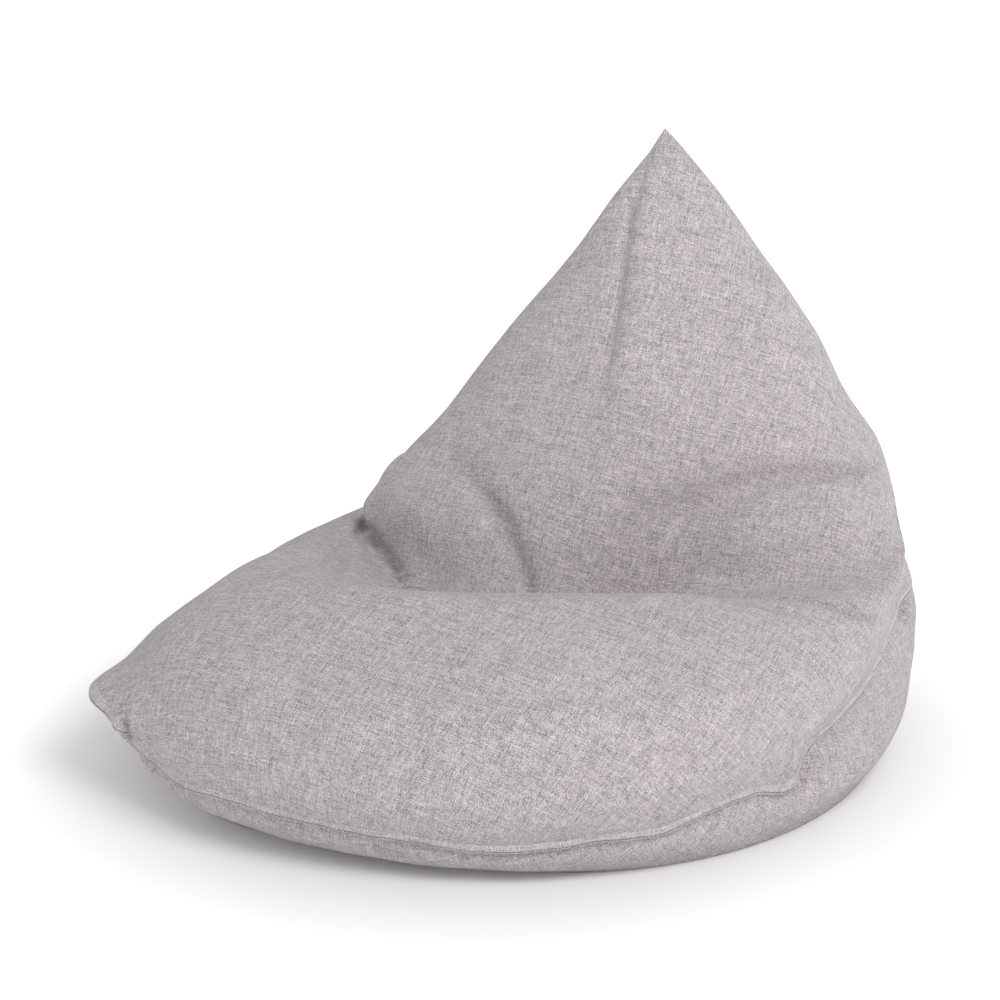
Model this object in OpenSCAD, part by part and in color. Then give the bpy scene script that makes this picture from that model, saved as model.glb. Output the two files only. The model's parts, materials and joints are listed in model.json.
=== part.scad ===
// Bean bag lounger: a floppy pyramid with a bucket seat pressed into its front.
// Millimetres. +Z is up, the seat faces -Y, and the origin is on the floor under the body.

/* [Body] */
// Overall width, left to right
body_w = 927; // [750:1:1150]
// Overall depth, front to back
body_d = 925; // [750:1:1150]
// Overall height to the peak
body_h = 740; // [600:1:900]
// How far the unfilled left front corner sticks out
ear_len = 45; // [0:1:60]
// How far that corner lifts off the floor beyond its neighbours
ear_lift = 25; // [0:1:40]

/* [Fabric layers] */
// Thickness of the outer cover cloth
cover_t = 1.5; // [0.8:0.1:2.5]
// Thickness of the inner liner cloth
liner_t = 0.8; // [0.4:0.1:1.2]
// Gap between the cover and the liner
liner_gap = 1.5; // [1.2:0.1:3]
// Gap between the liner and the beads
fill_gap = 3; // [2:0.1:5]
// Extra room for the two zips under the rear seam
zip_room = 6; // [5:0.5:10]

/* [Seams] */
// Width of the raised seam round the base
welt_w = 12; // [8:0.5:16]
// Height of that seam above the cloth
welt_h = 4.2; // [2:0.1:5]
// Width of the slit that the zips and the rear seam close
slit_w = 12; // [12:0.5:15]
// How far the rear seam laps over the cloth on each side
lap_w = 4; // [2:0.5:8]
// Height of the rear seam above the cloth
lap_h = 2; // [1:0.1:2.4]
// Diameter of the topstitching thread
thread_d = 0.9; // [0.5:0.1:1.2]

/* [Zips] */
// How far above the perimeter seam the cover zip starts
cover_zip_start = 35; // [25:1:60]
// Rise of the cover zip from its lower to its upper end
cover_zip_rise = 285; // [150:1:285]
// How far above the perimeter seam the liner zip starts
liner_zip_start = 70; // [50:1:110]
// Rise of the liner zip from its lower to its upper end
liner_zip_rise = 210; // [100:1:220]
// Width of each zip tape beyond the coil
tape_w = 13; // [11:0.5:14]
// Width of the cover zip's slider
slider_w = 9; // [7.5:0.1:11]
// Length of the cover zip's slider
slider_len = 12; // [9:0.5:15]
// Length of the cover zip's pull from its pivot
pull_len = 26; // [18:1:28]
// Width of the cover zip's pull
pull_w = 5; // [4.8:0.1:8]
// Diameter of the pin that the pull swings on
pin_d = 1.6; // [1.2:0.1:2]
// Clearance between the slider and what it runs on
run_gap = 0.4; // [0.2:0.05:0.5]

/* [Hidden] */

// The body is a loft through level rings. Each ring has a centre, eight radii and eight
// heights, at stations 45 degrees apart: front, front right, right, rear right, rear,
// rear left, left and front left. The rear radius of a ring from the seam to the neck
// is set by the straight rear line instead, so its entry here is not used.
RINGS = [
    [[-20,  10], [390, 430, 455, 480, 420, 410, 410, 440], [  0,   0,   0,   0,   0,   0,   0,   0]],
    [[-20,  10], [445, 450, 485, 515, 440, 435, 430, 450], [ 22,  26,  55, 110,  95,  60,  40,  32]],
    [[-20,  10], [466, 455, 460, 520,   0, 430, 435, 492], [ 60,  66, 130, 265, 220, 155, 108,  88]],
    [[-20,  10], [474, 468, 470, 505,   0, 415, 425, 482], [130, 135, 172, 290, 255, 185, 130, 150]],
    [[-10,  20], [425, 425, 462, 480,   0, 372, 352, 438], [205, 205, 210, 312, 290, 212, 178, 212]],
    [[ 20,  50], [262, 272, 435, 430,   0, 345, 295, 352], [265, 262, 242, 335, 325, 235, 228, 262]],
    [[ 70, 120], [165, 140, 368, 326,   0, 300, 325, 248], [200, 205, 268, 362, 362, 262, 222, 200]],
    [[ 90, 175], [160, 155, 322, 252,   0, 250, 335, 240], [290, 290, 330, 398, 402, 320, 300, 290]],
    [[105, 200], [140, 160, 258, 184,   0, 195, 262, 180], [400, 400, 400, 460, 470, 430, 400, 400]],
    [[115, 215], [108, 125, 190, 122,   0, 132, 190, 130], [500, 500, 500, 545, 545, 540, 500, 500]],
    [[118, 232], [ 68,  78, 108,  72,   0,  78, 112,  88], [600, 600, 600, 625, 620, 625, 600, 600]],
    [[112, 246], [ 28,  34,  40,  32,  26,  32,  43,  36], [690, 690, 690, 690, 690, 690, 690, 690]],
    [[100, 252], [  0,   0,   0,   0,   0,   0,   0,   0], [740, 740, 740, 740, 740, 740, 740, 740]],
];
// What the rings stand for, and the size that they are drawn at
FLOOR = 0;
BULGE = 1;
SEAM = 2;
NECK = 10;
PEAK = 12;
REAR = 4;
stations = 8;
drawn_size = [927, 925, 740];
stretch = [body_w / drawn_size.x, body_d / drawn_size.y, body_h / drawn_size.z];

// The rear seam runs straight from the perimeter seam to the neck
rear_foot = [0, 425, 220];
rear_head = [100, 285, 620];

// The ear is a bell-shaped bump of the seam at the left front corner
ear_angle = 307.5;
ear_spread = 10;

// Grid of every layer: columns run up the body, and two on each side of the slit are
// set square to the rear line so that the cloth beside the zip is flat
column_step = 7.5;
rear_gap_angle = 15;
flat_half = 16;
row_step = 0.5;

function spline(a, b, c, d, t) =
    0.5 * (2 * b + (c - a) * t + (2 * a - 5 * b + 4 * c - d) * t * t
           + (3 * b - a - 3 * c + d) * t * t * t);
function around(list, angle) =
    let (s = angle / 360 * stations, i = floor(s))
    spline(list[(i - 1 + stations) % stations], list[(i + stations) % stations],
           list[(i + 1 + stations) % stations], list[(i + 2 + stations) % stations], s - i);
function turn(angle) = angle - 360 * floor(angle / 360);
function bell(angle, middle, spread) =
    let (away = turn(angle - middle + 180) - 180) exp(-pow(away / spread, 2));
function times(a, b) = [a.x * b.x, a.y * b.y, a.z * b.z];
function unit(v) = v / norm(v);
function at_rear(list, value) = [for (i = [0:stations - 1]) i == REAR ? value : list[i]];

// A point of the straight rear line at the drawn height z
function rear_line(z) =
    rear_foot + (rear_head - rear_foot) * (z - rear_foot.z) / (rear_head.z - rear_foot.z);

// A point of one ring
function ring_point(ring, angle) =
    let (centre = RINGS[ring][0], radii = RINGS[ring][1], heights = RINGS[ring][2],
         on_line = ring >= SEAM && ring <= NECK,
         foot = rear_line(heights[REAR]),
         rear_r = on_line ? foot.y - centre.y : radii[REAR],
         rear_dx = on_line ? foot.x - centre.x : 0,
         bump = bell(angle, ear_angle, ear_spread),
         ear_share = ring == SEAM ? 1 : ring == BULGE ? 0.5 : 0,
         ear_rise = ring == SEAM || ring == BULGE ? ear_lift : 0,
         r = around(at_rear(radii, rear_r), turn(angle)) + ear_share * ear_len * bump,
         z = around(heights, turn(angle)) + ear_rise * bump,
         dx = around(at_rear([0, 0, 0, 0, 0, 0, 0, 0], rear_dx), turn(angle)))
    [centre.x + dx + r * sin(angle), centre.y - r * cos(angle), z];

// A point of the outer surface: v counts rings and takes fractions between them
function skin(angle, v) =
    let (j = min(floor(v), PEAK - 1), b = ring_point(j, angle), c = ring_point(j + 1, angle),
         a = j > 0 ? ring_point(j - 1, angle) : 2 * b - c,
         d = j < PEAK - 1 ? ring_point(j + 2, angle) : 2 * c - b)
    times(spline(a, b, c, d, v - j), stretch);
function skin_up(angle, v) =
    unit(skin(angle, min(v + 0.05, PEAK)) - skin(angle, max(v - 0.05, FLOOR)));
function skin_out(angle, v) =
    unit(cross(skin(angle + 1, v) - skin(angle - 1, v), skin_up(angle, v)));

// The frame of the rear line: across, outwards and along
rear_along = unit(times(rear_head - rear_foot, stretch));
rear_out = unit(cross(rear_along, [1, 0, 0]));
rear_across = cross(rear_out, rear_along);
function rear_at(z) = times(rear_line(z / stretch.z), stretch);

// The slit narrows where the peak gets too slim for it: there it takes a share of the
// width between the rear and a point some way round the side
slit_share = 0.35;
side_angle = 120;
function slit_half(v) =
    min(slit_w / 2, slit_share * sin(rear_gap_angle) * norm(skin(180, v) - skin(side_angle, v)));
function band_half(v) = slit_half(v) * flat_half / (slit_w / 2);

// Columns of the grid: [angle, share], where share tells the four columns beside the
// rear line apart: -2 and 2 are the edges of the slit, -1 and 1 the edges of the flat
columns = concat([[180, -2], [180, -1]],
                 [for (a = [rear_gap_angle - 180 : column_step : 180 - rear_gap_angle]) [a, 0]],
                 [[180, 1], [180, 2]]);
column_count = len(columns);

// Share of the extra depth that a layer takes: all of it under the rear line up to the
// neck, and none at the peak, where there is no zip
room_spread = 25;
function room_left(v) = min(1, (PEAK - v) / (PEAK - NECK));
function room(angle, v) = bell(angle, 180, room_spread) * room_left(v);
function column_out(column, v) =
    column[1] == 0 || v < SEAM ? skin_out(column[0], v) : rear_out;
function column_up(column, v) =
    column[1] == 0 || v < SEAM ? skin_up(column[0], v) : rear_along;
function column_side(column, v) =
    let (s = column[1], across = v < SEAM ? [1, 0, 0] : rear_across)
    s == 0 ? [0, 0, 0] : sign(s) * (abs(s) == 2 ? slit_half(v) : band_half(v)) * across;
function column_point(column, v, depth, extra) =
    skin(column[0], v) + column_side(column, v)
    - (depth + extra * room(column[0], v)) * column_out(column, v);

// Rows of the two panels, from the seam ring to the tip of each
upper_rows = [SEAM : row_step : PEAK - row_step];
base_rows = [SEAM : -row_step : row_step];
tip_slope = 1.7;
floor_shrink = 1.2;

function flat(lists) = [for (list = lists) for (item = list) item];
function upper_grid(depth, extra) =
    [for (c = columns) [for (v = upper_rows) column_point(c, v, depth, extra)]];
function upper_tip(depth) = skin(0, PEAK) - [0, 0, tip_slope * depth];
function floor_point(column, depth) =
    let (p = skin(column[0], FLOOR) + column_side(column, FLOOR), middle = base_tip(0))
    p - unit(p - middle) * floor_shrink * depth + [0, 0, depth];
function base_grid(depth, extra) =
    [for (c = columns) concat([for (v = base_rows) column_point(c, v, depth, extra)],
                              [floor_point(c, depth)])];
function base_tip(depth) = times([RINGS[FLOOR][0].x, RINGS[FLOOR][0].y, 0], stretch) + [0, 0, depth];

// One cell of a grid as triangles; at a tip its two upper corners are the same point
function cell(a, b, c, d) = b == c ? [[a, b, d]] : [[a, b, d], [b, c, d]];
function flip(faces, yes) = yes ? [for (f = faces) [f[2], f[1], f[0]]] : faces;

// Closed sheet of cloth between an outer and an inner grid, each gathered into its tip.
// joined closes the sheet round the body; down turns it over for a grid that runs down.
module sheet(outer, inner, outer_tip, inner_tip, joined, down) {
    cols = len(outer);
    rows = len(outer[0]);
    size = cols * rows + 1;
    last = joined ? cols : cols - 1;
    points = concat(flat(outer), [outer_tip], flat(inner), [inner_tip]);
    function at(layer, c, r) = layer * size + (r == rows ? cols * rows : (c % cols) * rows + r);
    front = [for (c = [0:last - 1], r = [0:rows - 1])
        each cell(at(0, c, r), at(0, c, r + 1), at(0, c + 1, r + 1), at(0, c + 1, r))];
    back = [for (c = [0:last - 1], r = [0:rows - 1])
        each flip(cell(at(1, c, r), at(1, c, r + 1), at(1, c + 1, r + 1), at(1, c + 1, r)), true)];
    rim = [for (c = [0:last - 1])
        each cell(at(1, c, 0), at(0, c, 0), at(0, c + 1, 0), at(1, c + 1, 0))];
    start = joined ? [] : [for (r = [0:rows - 1])
        each cell(at(1, 0, r), at(1, 0, r + 1), at(0, 0, r + 1), at(0, 0, r))];
    end = joined ? [] : [for (r = [0:rows - 1])
        each cell(at(0, cols - 1, r), at(0, cols - 1, r + 1), at(1, cols - 1, r + 1), at(1, cols - 1, r))];
    polyhedron(points, flip(concat(front, back, rim, start, end), down));
}

// Closed solid through a stack of sections with the same number of points
module sweep(sections, looped) {
    n = len(sections);
    m = len(sections[0]);
    function at(i, k) = (i % n) * m + k % m;
    sides = [for (i = [0:looped ? n - 1 : n - 2], k = [0:m - 1])
        each cell(at(i, k), at(i, k + 1), at(i + 1, k + 1), at(i + 1, k))];
    ends = looped ? [] : [[for (k = [m - 1:-1:0]) at(0, k)], [for (k = [0:m - 1]) at(n - 1, k)]];
    polyhedron(flat(sections), concat(sides, ends));
}

// A section [across, out] placed in a frame
function placed(section, origin, across, out) = [for (p = section) origin + p[0] * across + p[1] * out];

// Sections along the perimeter seam, where "across" is up the body
function seam_ring(section, depth, extra) =
    [for (c = columns) placed(section, column_point(c, SEAM, depth, extra),
                              column_up(c, SEAM), column_out(c, SEAM))];
// Stops of the rear seam below and above a zip: [point, half width of the slit, share of
// the extra depth]. The rows that start less than stop_room above the zip are left out.
stop_room = 1;
function rear_stop(v) = [skin(180, v), slit_half(v), room_left(v)];
function rear_stops_low(z) = [rear_stop(SEAM), [rear_at(z), slit_half(SEAM), 1]];
function rear_stops_high(z) =
    concat([[rear_at(z), slit_half(SEAM), 1]],
           [for (v = upper_rows) if (skin(180, v).z > z + stop_room) rear_stop(v)]);
function rear_sections(stops, depth, extra, section_of) =
    [for (s = stops) placed(section_of(s[1]), s[0] - (depth + extra * s[2]) * rear_out,
                            rear_across, rear_out)];

/* ---- cover ---- */
sink = 0.3;
fabric_colour = [0.74, 0.71, 0.71];
seam_colour = [0.70, 0.67, 0.67];
thread_colour = [0.55, 0.53, 0.53];

module upper_panel() {
    color(fabric_colour)
        sheet(upper_grid(0, 0), upper_grid(cover_t, 0), upper_tip(0), upper_tip(cover_t), false, false);
}
module base_panel() {
    color(fabric_colour)
        sheet(base_grid(0, 0), base_grid(cover_t, 0), base_tip(0), base_tip(cover_t), true, true);
}
// Folded seam allowance: a rounded ridge that straddles the joint of the two panels
shoulder_w = 0.4;
shoulder_h = 0.7;
function ridge(w, h) =
    [[-w / 2, -sink], [-shoulder_w * w, shoulder_h * h], [0, h], [shoulder_w * w, shoulder_h * h],
     [w / 2, -sink]];
function round_section(d, x, y) =
    [for (k = [5:-1:0]) [x + d / 2 * cos(60 * k), y + d / 2 * sin(60 * k)]];
module perimeter_seam() {
    color(seam_colour) sweep(seam_ring(ridge(welt_w, welt_h), 0, 0), true);
}
// The topstitching runs on the lower slope of the ridge
stitch_across = 0.32;
stitch_rise = 0.79;
module perimeter_topstitch() {
    stitch = round_section(thread_d, -welt_w * stitch_across, welt_h * stitch_rise);
    color(thread_colour) sweep(seam_ring(stitch, 0, 0), true);
}
// Felled seam: a cap over the slit with a web that fills it
lap_top = 0.8;
lap_stitch = 0.3;
function lap_section(half, depth) =
    [[half + lap_w, 0], [half, 0], [half, -depth], [-half, -depth], [-half, 0],
     [-half - lap_w, 0], [-half - lap_top * lap_w, lap_h], [half + lap_top * lap_w, lap_h]];
cover_lap = function (half) lap_section(half, cover_t);
stop_len = 4;
// The seam stops this far from the end of a zip, measured upwards
rear_rise = (stop_len + 1) * rear_along.z;
module rear_seam() {
    color(seam_colour) {
        sweep(rear_sections(rear_stops_low(cover_zip_low - rear_rise), 0, 0, cover_lap), false);
        sweep(rear_sections(rear_stops_high(cover_zip_high + rear_rise), 0, 0, cover_lap), false);
    }
}
module rear_topstitch() {
    color(thread_colour) for (side = [-1, 1]) {
        stitch = function (half) round_section(thread_d, side * (half + lap_stitch * lap_w), lap_h);
        sweep(rear_sections(rear_stops_low(cover_zip_low - rear_rise), 0, 0, stitch), false);
        sweep(rear_sections(rear_stops_high(cover_zip_high + rear_rise), 0, 0, stitch), false);
    }
}

/* ---- zips, drawn in their own frame: X across, Y out of the body, Z along the zip ---- */
coil_gap = 1.2;
coil_pitch = 2.5;
tooth_len = 1.2;
spine_w = 0.8;
coil_half = coil_gap / 2 + tooth_len + spine_w;
plate_t = 1;
web_gap = 0.2;
web_w = coil_gap - 2 * web_gap;
web_len = 4;
tape_over = 8;
cover_tape_t = 0.6;
liner_tape_t = 0.5;
cover_coil_t = 1.5;
liner_coil_t = 1.2;
metal_colour = [0.55, 0.55, 0.57];
zip_colour = [0.62, 0.60, 0.60];
liner_colour = [0.93, 0.93, 0.92];

rear_seam_z = rear_foot.z * stretch.z;
cover_zip_low = rear_seam_z + cover_zip_start;
cover_zip_high = cover_zip_low + cover_zip_rise;
liner_zip_low = rear_seam_z + liner_zip_start;
liner_zip_high = liner_zip_low + liner_zip_rise;
cover_zip_len = norm(rear_at(cover_zip_high) - rear_at(cover_zip_low));
liner_zip_len = norm(rear_at(liner_zip_high) - rear_at(liner_zip_low));
liner_depth = cover_t + liner_gap;
liner_slider_w = slider_w - 1;
liner_slider_len = slider_len - 3;

module in_zip_frame(z, depth) {
    o = rear_at(z) - depth * rear_out;
    multmatrix([[rear_across.x, rear_out.x, rear_along.x, o.x],
                [rear_across.y, rear_out.y, rear_along.y, o.y],
                [rear_across.z, rear_out.z, rear_along.z, o.z],
                [0, 0, 0, 1]])
        children();
}
module on_cover_zip() in_zip_frame(cover_zip_low, 0) children();
module on_liner_zip() in_zip_frame(liner_zip_low, liner_depth + zip_room) children();
module block(x0, x1, y0, y1, z0, z1)
    translate([min(x0, x1), y0, z0]) cube([abs(x1 - x0), y1 - y0, z1 - z0]);

// side is -1 for the left half of a zip and 1 for the right
module tape(side, length, cloth_t, tape_t) {
    inner = coil_gap / 2 + tooth_len;
    a = side > 0 ? inner : -inner - tape_w;
    block(a, a + tape_w, -cloth_t - tape_t, -cloth_t, -tape_over, length + tape_over);
}
module coil(side, length, cloth_t, coil_t) {
    count = floor(length / coil_pitch);
    pitch = length / count;
    root = coil_gap / 2 + tooth_len;
    tip = coil_gap / 2;
    outline = concat([[coil_half, 0], [coil_half, length]],
        [for (i = [count - 1:-1:0]) each [[root, (i + 0.8) * pitch], [tip, (i + 0.7) * pitch],
                                          [tip, (i + 0.3) * pitch], [root, (i + 0.2) * pitch]]]);
    translate([0, -cloth_t, 0]) mirror([side > 0 ? 0 : 1, 0, 0])
        translate([0, coil_t, 0]) rotate([90, 0, 0]) linear_extrude(coil_t) polygon(outline);
}
// Two plates joined by a web that parts the coil, with rims that keep the tapes in place
module slider(w, len, cloth_t, tape_t, coil_t) {
    top = coil_t - cloth_t + run_gap;
    bottom = -cloth_t - tape_t - run_gap;
    rim = w / 2 - coil_half - run_gap;
    union() {
        block(-w / 2, w / 2, top, top + plate_t, 0, len);
        block(-w / 2, w / 2, bottom - plate_t, bottom, 0, len);
        block(-web_w / 2, web_w / 2, bottom, top, len - web_len, len);
        for (side = [-1, 1])
            block(side * (w / 2 - rim), side * w / 2, -cloth_t + run_gap, top, 0, len);
    }
}
module stop(cloth_t, coil_t, z) {
    block(-coil_half, coil_half, -cloth_t, coil_t - cloth_t + plate_t / 2, z, z + stop_len);
}

module cover_tape(side) color(zip_colour) on_cover_zip() tape(side, cover_zip_len, cover_t, cover_tape_t);
module cover_coil(side) color(zip_colour) on_cover_zip() coil(side, cover_zip_len, cover_t, cover_coil_t);
module cover_stop(z) color(metal_colour) on_cover_zip() stop(cover_t, cover_coil_t, z);
module cover_zip_tape_left() cover_tape(-1);
module cover_zip_tape_right() cover_tape(1);
module cover_zip_coil_left() cover_coil(-1);
module cover_zip_coil_right() cover_coil(1);
module cover_zip_top_stop() cover_stop(cover_zip_len);
module cover_zip_bottom_stop() cover_stop(-stop_len);

// The slider stands at the lower end of its travel, where the zip is closed
slider_foot = 0.5;
pin_z = slider_foot + slider_len / 2;
pin_fit = 0.1;
barrel_wall = 0.7;
barrel_r = pin_d / 2 + pin_fit + barrel_wall;
lug_gap = 0.2;
lug_w = 1;
lug_half = 1.6;
lug_roof = 0.4;
pin_rise = 0.3;
plate_top = cover_coil_t - cover_t + run_gap + plate_t;
pin_y = plate_top + barrel_r + pin_rise;
barrel_half = pull_w / 2 - lug_gap;
lug_mid = barrel_half + lug_gap + lug_w / 2;

module cover_zip_slider() {
    color(metal_colour) on_cover_zip() union() {
        translate([0, 0, slider_foot]) slider(slider_w, slider_len, cover_t, cover_tape_t, cover_coil_t);
        for (side = [-1, 1])
            block(side * (lug_mid - lug_w / 2), side * (lug_mid + lug_w / 2),
                  plate_top - plate_t / 2, pin_y + pin_d / 2 + lug_roof, pin_z - lug_half, pin_z + lug_half);
        translate([-lug_mid, pin_y, pin_z]) rotate([0, 90, 0])
            cylinder(h = 2 * lug_mid, d = pin_d, $fn = 32);
    }
}
tab_t = 1.4;
eye_d = 3;
module cover_zip_pull() {
    color(metal_colour) on_cover_zip() difference() {
        union() {
            translate([-barrel_half, pin_y, pin_z]) rotate([0, 90, 0])
                cylinder(h = 2 * barrel_half, r = barrel_r, $fn = 32);
            block(-barrel_half, barrel_half, pin_y - tab_t / 2, pin_y + tab_t / 2,
                  pin_z - pull_len / 3, pin_z);
            block(-pull_w / 2, pull_w / 2, pin_y - tab_t / 2, pin_y + tab_t / 2,
                  pin_z - pull_len + pull_w / 2, pin_z - pull_len / 4);
            translate([0, pin_y + tab_t / 2, pin_z - pull_len + pull_w / 2]) rotate([90, 0, 0])
                cylinder(h = tab_t, d = pull_w, $fn = 48);
        }
        translate([-pull_w, pin_y, pin_z]) rotate([0, 90, 0])
            cylinder(h = 2 * pull_w, d = pin_d + 2 * pin_fit, $fn = 32);
        translate([0, pin_y + tab_t, pin_z - pull_len + pull_w / 2]) rotate([90, 0, 0])
            cylinder(h = 2 * tab_t, d = eye_d, $fn = 32);
    }
}

/* ---- liner ---- */
module liner_upper() {
    color(liner_colour)
        sheet(upper_grid(liner_depth, zip_room), upper_grid(liner_depth + liner_t, zip_room),
              upper_tip(liner_depth), upper_tip(liner_depth + liner_t), false, false);
}
module liner_base() {
    color(liner_colour)
        sheet(base_grid(liner_depth, zip_room), base_grid(liner_depth + liner_t, zip_room),
              base_tip(liner_depth), base_tip(liner_depth + liner_t), true, true);
}
// The liner's seam allowance is a fin on its inside
liner_fin_w = 2 * liner_t;
liner_fin_h = 1.6;
module liner_seam() {
    inward = [for (p = ridge(liner_fin_w, liner_fin_h)) -p];
    color(liner_colour) sweep(seam_ring(inward, liner_depth + liner_t, zip_room), true);
}
liner_lap_h = 0.8;
liner_lap = function (half)
    [[half, liner_lap_h], [half, -liner_t], [-half, -liner_t], [-half, liner_lap_h]];
module liner_rear_seam() {
    color(liner_colour) {
        sweep(rear_sections(rear_stops_low(liner_zip_low - rear_rise), liner_depth, zip_room, liner_lap),
              false);
        sweep(rear_sections(rear_stops_high(liner_zip_high + rear_rise), liner_depth, zip_room, liner_lap),
              false);
    }
}
module liner_tape(side) color(liner_colour) on_liner_zip() tape(side, liner_zip_len, liner_t, liner_tape_t);
module liner_coil(side) color(liner_colour) on_liner_zip() coil(side, liner_zip_len, liner_t, liner_coil_t);
module liner_stop(z) color(metal_colour) on_liner_zip() stop(liner_t, liner_coil_t, z);
module liner_zip_tape_left() liner_tape(-1);
module liner_zip_tape_right() liner_tape(1);
module liner_zip_coil_left() liner_coil(-1);
module liner_zip_coil_right() liner_coil(1);
module liner_zip_top_stop() liner_stop(liner_zip_len);
module liner_zip_bottom_stop() liner_stop(-stop_len);
module liner_zip_slider() {
    color(metal_colour) on_liner_zip() translate([0, 0, slider_foot])
        slider(liner_slider_w, liner_slider_len, liner_t, liner_tape_t, liner_coil_t);
}

/* ---- filling ---- */
fill_depth = liner_depth + liner_t + fill_gap;
fill_room = zip_room + 3;
module bead_fill() {
    upper = upper_grid(fill_depth, fill_room);
    base = base_grid(fill_depth, fill_room);
    rows = len(upper[0]) + len(base[0]) - 1;
    grid = [for (c = [0:column_count - 1])
        concat([for (r = [len(base[0]) - 1:-1:1]) base[c][r]], upper[c])];
    low = column_count * rows;
    function at(c, r) = r < 0 ? low : r == rows ? low + 1 : (c % column_count) * rows + r;
    side = [for (c = [0:column_count - 1], r = [0:rows - 1])
        each cell(at(c, r), at(c, r + 1), at(c + 1, r + 1), at(c + 1, r))];
    under = [for (c = [0:column_count - 1]) [at(c + 1, 0), low, at(c, 0)]];
    color("white")
        polyhedron(concat(flat(grid), [base_tip(fill_depth), upper_tip(fill_depth)]), concat(side, under));
}

upper_panel();
base_panel();
perimeter_seam();
perimeter_topstitch();
rear_seam();
rear_topstitch();
cover_zip_tape_left();
cover_zip_tape_right();
cover_zip_coil_left();
cover_zip_coil_right();
cover_zip_slider();
cover_zip_pull();
cover_zip_top_stop();
cover_zip_bottom_stop();
liner_upper();
liner_base();
liner_seam();
liner_rear_seam();
liner_zip_tape_left();
liner_zip_tape_right();
liner_zip_coil_left();
liner_zip_coil_right();
liner_zip_slider();
liner_zip_top_stop();
liner_zip_bottom_stop();
bead_fill();
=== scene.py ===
import json
import math

import bmesh
import bpy
import numpy as np
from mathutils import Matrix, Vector, noise


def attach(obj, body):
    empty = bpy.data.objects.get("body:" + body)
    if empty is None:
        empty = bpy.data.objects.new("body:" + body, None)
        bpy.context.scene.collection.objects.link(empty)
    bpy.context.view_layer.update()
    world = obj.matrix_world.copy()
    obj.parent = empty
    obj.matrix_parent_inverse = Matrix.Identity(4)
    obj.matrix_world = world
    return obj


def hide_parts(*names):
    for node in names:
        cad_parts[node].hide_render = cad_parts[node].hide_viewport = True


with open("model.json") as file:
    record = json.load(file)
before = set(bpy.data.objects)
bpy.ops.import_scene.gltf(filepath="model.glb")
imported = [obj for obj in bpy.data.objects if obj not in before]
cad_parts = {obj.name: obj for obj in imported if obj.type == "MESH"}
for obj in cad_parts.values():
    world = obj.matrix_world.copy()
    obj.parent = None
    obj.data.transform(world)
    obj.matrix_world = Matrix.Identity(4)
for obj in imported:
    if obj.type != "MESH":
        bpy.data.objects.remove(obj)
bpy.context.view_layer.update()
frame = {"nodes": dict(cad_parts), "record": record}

scene = bpy.context.scene
MM = 0.001  # sizes below are millimetres; meshes are made in metres

# ------------------------------------------------------------------ the drawn body
# The same level rings as the CAD body: centre, then radius and height at eight stations
# 45 degrees apart, from the front towards the right. Ring 2 carries the perimeter seam,
# ring 5 is the crest of the seat, ring 6 the crease behind it and ring 12 the peak.
# A rear radius of 0 on rings 2 to 10 is a stand-in: the straight rear line gives that station.
RINGS = [
    [[-20, 10], [390, 430, 455, 480, 420, 410, 410, 440], [0, 0, 0, 0, 0, 0, 0, 0]],
    [[-20, 10], [445, 450, 485, 515, 440, 435, 430, 450], [22, 26, 55, 110, 95, 60, 40, 32]],
    [[-20, 10], [466, 455, 460, 520, 0, 430, 435, 492], [60, 66, 130, 265, 220, 155, 108, 88]],
    [[-20, 10], [474, 468, 470, 505, 0, 415, 425, 482], [130, 135, 172, 290, 255, 185, 130, 150]],
    [[-10, 20], [425, 425, 462, 480, 0, 372, 352, 438], [205, 205, 210, 312, 290, 212, 178, 212]],
    [[20, 50], [262, 272, 435, 430, 0, 345, 295, 352], [265, 262, 242, 335, 325, 235, 228, 262]],
    [[70, 120], [165, 140, 368, 326, 0, 300, 325, 248], [200, 205, 268, 362, 362, 262, 222, 200]],
    [[90, 175], [160, 155, 322, 252, 0, 250, 335, 240], [290, 290, 330, 398, 402, 320, 300, 290]],
    [[105, 200], [140, 160, 258, 184, 0, 195, 262, 180], [400, 400, 400, 460, 470, 430, 400, 400]],
    [[115, 215], [108, 125, 190, 122, 0, 132, 190, 130], [500, 500, 500, 545, 545, 540, 500, 500]],
    [[118, 232], [68, 78, 108, 72, 0, 78, 112, 88], [600, 600, 600, 625, 620, 625, 600, 600]],
    [[112, 246], [28, 34, 40, 32, 26, 32, 43, 36], [690] * 8],
    [[100, 252], [0] * 8, [740] * 8],
]
SEAM, NECK, PEAK = 2, 10, 12  # ring numbers
REAR = 4  # the station at the back
PEAK_HEIGHT = 740.0
REAR_FOOT = np.array([0.0, 425.0, 220.0])
REAR_HEAD = np.array([100.0, 285.0, 620.0])
EAR_ANGLE, EAR_SPREAD, EAR_LEN, EAR_LIFT = 307.5, 10.0, 45.0, 25.0
ZIP_LOW, ZIP_HIGH = 255.0, 540.0  # heights between which the rear slit is open
SLIT_HALF, SLIT_SEWN = 6.0, 0.4  # half its width, open and sewn shut
REAR_GAP = 15.0  # degrees on each side of the rear line over which the cloth is flattened


def unit(v):
    """Vectors of length one."""
    return v / np.maximum(np.linalg.norm(v, axis=-1, keepdims=True), 1e-9)


REAR_ALONG = unit(REAR_HEAD - REAR_FOOT)
REAR_OUT = unit(np.cross(REAR_ALONG, [1.0, 0.0, 0.0]))
REAR_ACROSS = np.cross(REAR_OUT, REAR_ALONG)


def spline(a, b, c, d, t):
    """Catmull-Rom curve from b to c."""
    return 0.5 * (2 * b + (c - a) * t + (2 * a - 5 * b + 4 * c - d) * t * t
                  + (3 * b - a - 3 * c + d) * t ** 3)


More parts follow.
